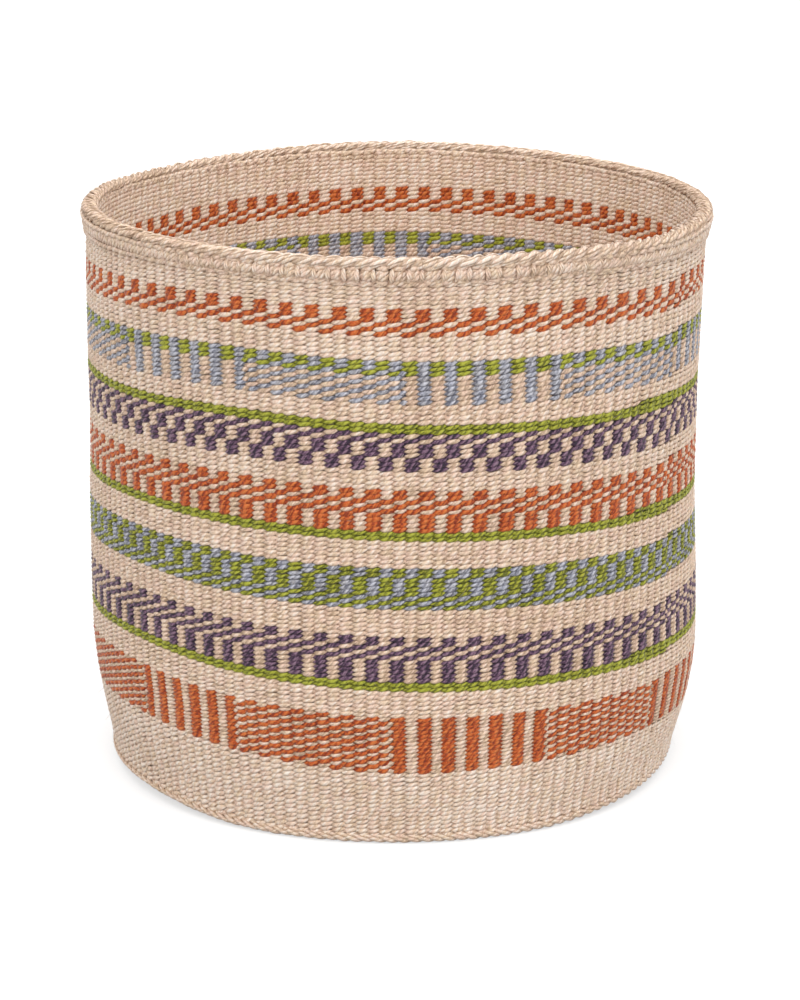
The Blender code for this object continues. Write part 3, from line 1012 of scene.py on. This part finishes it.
# The rope: how far its middle is out from the wall's middle and below its CAD ring's, the warps that
# a bundle takes to go round it, how far the bundles go out and up, and how unevenly they roll and
# swell. It is looser at the front, and at the sides it lies a little closer and wider, and painted
# shade darkens it there.
BRAID_OUT = 0.95 * MM
BRAID_LOWER = 0.25 * MM
BRAID_TURN = 3.2
BUNDLES = 3
BUNDLE_OUT = 1.68 * MM
BUNDLE_RISE = 1.42 * MM
BUNDLE_ROLL_SPREAD = 0.26
BUNDLE_SWELL = 0.16
BUNDLE_SWELL_SPREAD = 0.12
BRAID_LOOSE = 0.93
FRONT_LOOSER = 0.2
CALM_CLOSER = 0.1 * MM
CALM_WIDER = 0.5
CALM_PAINTED_SHADE = 0.9

# The strands in a bundle: how far they go round its middle out and up, the share of the bundle's
# turn that they turn back, their half sizes, and how far they stray
STRANDS = 4
STRAND_OUT = 0.82 * MM
STRAND_RISE = 0.78 * MM
STRAND_BACK = 0.2
STRAND_HALF_HEIGHT = 0.8 * MM
STRAND_HALF_DEPTH = 0.66 * MM
STRAND_STRAY = 0.12 * MM
STRAND_PALER = 0.4

# What fills the rope: a yarn in the groove beside each bundle and a core, with their half sizes
GROOVE_OUT = 1.7 * MM
GROOVE_RISE = 1.5 * MM
GROOVE_HALF_HEIGHT = 0.85 * MM
GROOVE_HALF_DEPTH = 0.6 * MM
CORE_HALF_HEIGHT = 1.4 * MM
CORE_HALF_DEPTH = 1.6 * MM


def weave_rim_braid():
    low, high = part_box("rim_braid")
    middle = (low.z + high.z) / 2 - BRAID_LOWER
    path = ring_path(6)
    calm = calm_at(path, middle)
    angle = warp_angle(path, np.full_like(path, middle))
    loose = BRAID_LOOSE + FRONT_LOOSER * np.cos(angle)
    wide = loose * (1 + CALM_WIDER * calm)
    reach = BRAID_OUT - CALM_CLOSER * calm
    yarns = Yarns()
    for bundle in range(BUNDLES):
        turn = TURN * (np.round(WARPS / BRAID_TURN) / WARPS * path + bundle / BUNDLES)
        turn = turn + round_noise(BUNDLE_ROLL_SPREAD, path)
        swell = 1 + BUNDLE_SWELL * np.cos(turn - 0.5) + round_noise(BUNDLE_SWELL_SPREAD, path)
        for strand in range(STRANDS):
            own = TURN * strand / STRANDS - turn * STRAND_BACK
            out = BUNDLE_OUT * wide * np.cos(turn) + STRAND_OUT * np.cos(own) * swell
            rise = BUNDLE_RISE * loose * np.sin(turn) + STRAND_RISE * np.sin(own) * swell
            height = middle + rise + round_noise(STRAND_STRAY, path)
            points, outward = on_wall(path, height, reach + out)
            # Painted shade darkens the strands at the sides, where the rim turns away
            tone = round_noise(RIM_TONE_SPREAD, path) + STRAND_PALER - CALM_PAINTED_SHADE * calm
            # Painted shade on the side of a bundle that faces into the rope
            tucked_shade = np.clip(0.4 - 0.4 * np.cos(turn - own), 0, 1)
            half_height = STRAND_HALF_HEIGHT * swell
            yarns.lay(points, facing_out(outward, own), half_height, STRAND_HALF_DEPTH, tone, tucked_shade)
        # A groove yarn gets much painted shade, deep between the bundles
        groove = turn + TURN / (2 * BUNDLES)
        height = middle + GROOVE_RISE * loose * np.sin(groove)
        points, outward = on_wall(path, height, reach + GROOVE_OUT * wide * np.cos(groove))
        facing = facing_out(outward, groove)
        tone = round_noise(RIM_TONE_SPREAD, path)
        yarns.lay(points, facing, GROOVE_HALF_HEIGHT, GROOVE_HALF_DEPTH, tone, 0.85)
    # The core gets much painted shade, deep inside the rope
    points, outward = on_wall(path, np.full_like(path, middle), reach)
    yarns.lay(points, outward, CORE_HALF_HEIGHT * loose, CORE_HALF_DEPTH * wide, 0.0, 0.6)
    dress(yarns, "rim_braid_yarns", "natural", "rim_braid")


# Loose fibres, fine fuzz and stray strands: how many of each, their lengths and half width
FIBRE_KINDS = ((1000, 2.0 * MM, 6 * MM, 0.05 * MM), (60, 4.0 * MM, 9 * MM, 0.10 * MM))
# How far from the middle of the wall's thickness they start, in the outer yarns, points along them,
# how much thinner their tips are, how they curl, how far they stand off, and how pale they are
FIBRE_START = 2.3 * MM
FIBRE_POINTS = 7
FIBRE_TAPER = 0.75
FIBRE_CURL = 0.4
FIBRE_LIFT = (0.08, 0.5)
FIBRE_TONE = 0.7


def scatter_fibres():
    """Loose fibres that stand off the yarn all over the basket."""
    yarns = Yarns(3)
    run = np.linspace(0, 1, FIBRE_POINTS)[:, None]
    for number, shortest, longest, half_width in FIBRE_KINDS:
        taper = half_width * (1 - FIBRE_TAPER * run[:, 0])
        for _ in range(number):
            place = np.array([dice.uniform(0, WARPS)])
            starts, ways = on_wall(place, dice.uniform(2 * MM, RIM_TOP - 1 * MM), FIBRE_START)
            start, outward = starts[0], ways[0]
            sideways = np.array([-outward[1], outward[0], 0.0])
            lean = dice.uniform(0, TURN)
            heading = sideways * math.cos(lean) + np.array([0, 0, 1.0]) * math.sin(lean)
            curl = dice.normal(0, FIBRE_CURL, 3)
            away = outward * dice.uniform(*FIBRE_LIFT)
            length = dice.uniform(shortest, longest)
            path = start + length * ((heading + away) * run + curl * run * run * 0.5)
            path[:, 2] = np.maximum(path[:, 2], 0.3 * MM)
            facing = np.tile(outward, (FIBRE_POINTS, 1)) + 0.01 * heading
            yarns.lay(path, facing, taper, taper, FIBRE_TONE, 0.0)
    dress(yarns, "loose_fibres", "natural")


weave_base()
weave_foot_ridge()
weave_wall()
weave_rim_lashing()
weave_rim_braid()
raise_warps()
scatter_fibres()


# The camera of the photograph: its place, its pitch downwards in degrees and its focal length
CAMERA_PLACE = (0.0022, -1.5222, 0.5461)
CAMERA_PITCH = 15.85
CAMERA_LENS = 126.8


def place_camera():
    data = bpy.data.cameras.new("camera")
    data.lens = CAMERA_LENS
    camera = bpy.data.objects.new("camera", data)
    camera.location = CAMERA_PLACE
    camera.rotation_euler = (math.radians(90 - CAMERA_PITCH), 0, 0)
    bpy.context.scene.collection.objects.link(camera)
    bpy.context.scene.camera = camera


# The floor: how far it goes to each side, its two greys, and how brightly the camera sees it near
# the basket and far from it
FLOOR_REACH = 14
FLOOR_GREYS = (0.45, 0.47)
NEAR_GLOW = 0.61
FAR_GLOW = 0.76


def seen_directly(recipe):
    """1 for what the camera sees, straight or in a reflection, and 0 for the light that falls."""
    kinds = ("Is Camera Ray", "Is Glossy Ray", "Is Transmission Ray")
    camera, glossy, through = [recipe.node("ShaderNodeLightPath", output=kind) for kind in kinds]
    return recipe.node("ShaderNodeClamp", {}, {0: camera + glossy + through})


def grey(value):
    return (value, value, value, 1)


def lay_floor():
    mesh = bpy.data.meshes.new("floor")
    far = FLOOR_REACH
    corners = [(-far, -far, 0), (far, -far, 0), (far, far, 0), (-far, far, 0)]
    mesh.from_pydata(corners, [], [(0, 1, 2, 3)])
    floor = bpy.data.objects.new("floor", mesh)
    bpy.context.scene.collection.objects.link(floor)
    recipe = Finish("pale_floor", roughness=0.9, specular=0.0)
    place = recipe.node("ShaderNodeTexCoord", output="Object")
    grain = recipe.noise(place, 60.0)
    recipe.set("Base Color", recipe.mix(grain, *map(grey, FLOOR_GREYS)))
    distance = recipe.node("ShaderNodeVectorMath", {"operation": "LENGTH"}, {0: place}, output="Value")
    shine = recipe.mix((distance - 0.3) * 0.7, grey(NEAR_GLOW), grey(FAR_GLOW))
    glow = recipe.node("ShaderNodeEmission", {}, {"Color": shine, "Strength": 1.0})
    surface = Value(recipe, recipe.shader.outputs[0])
    lit = recipe.node("ShaderNodeAddShader", {}, {0: surface, 1: glow})
    shown = recipe.node("ShaderNodeMixShader", {}, {0: seen_directly(recipe), 1: surface, 2: lit})
    recipe.feed(recipe.tree.nodes["Material Output"].inputs["Surface"], shown)
    mesh.materials.append(recipe.material)


# The light from all round, and the lamps: place, width and power. They look at the basket's middle.
SOFT_LIGHT = 0.67
LAMPS = {
    "key": ((-2.3, -5.4, 5.3), 7.0, 200),
    "fill": ((3.4, -5.1, 4.8), 7.0, 180),
    "top": ((0.2, 1.0, 5.5), 6.0, 170),
}
LAMP_AIM = (0, 0, 0.14)


def fill_with_light():
    world = bpy.data.worlds.new("studio")
    bpy.context.scene.world = world
    world.use_nodes = True
    recipe = Recipe(world.node_tree)
    white = (1, 1, 1, 1)
    soft = recipe.node("ShaderNodeBackground", {}, {"Color": white, "Strength": SOFT_LIGHT})
    plain = recipe.node("ShaderNodeBackground", {}, {"Color": white, "Strength": 1.0})
    shown = recipe.node("ShaderNodeMixShader", {}, {0: seen_directly(recipe), 1: soft, 2: plain})
    recipe.feed(recipe.tree.nodes["World Output"].inputs["Surface"], shown)


def hang_lamp(name, place, size, power):
    data = bpy.data.lights.new(name, "AREA")
    data.shape = "SQUARE"
    data.size = size
    data.energy = power
    lamp = bpy.data.objects.new(name, data)
    lamp.location = place
    back = [place[k] - LAMP_AIM[k] for k in range(3)]
    flat = math.hypot(back[0], back[1])
    lamp.rotation_euler = (math.atan2(flat, back[2]), 0, math.atan2(back[0], -back[1]))
    bpy.context.scene.collection.objects.link(lamp)


place_camera()
lay_floor()
fill_with_light()
for lamp_name, lamp in LAMPS.items():
    hang_lamp(lamp_name, *lamp)
bpy.context.scene.view_settings.view_transform = "Standard"
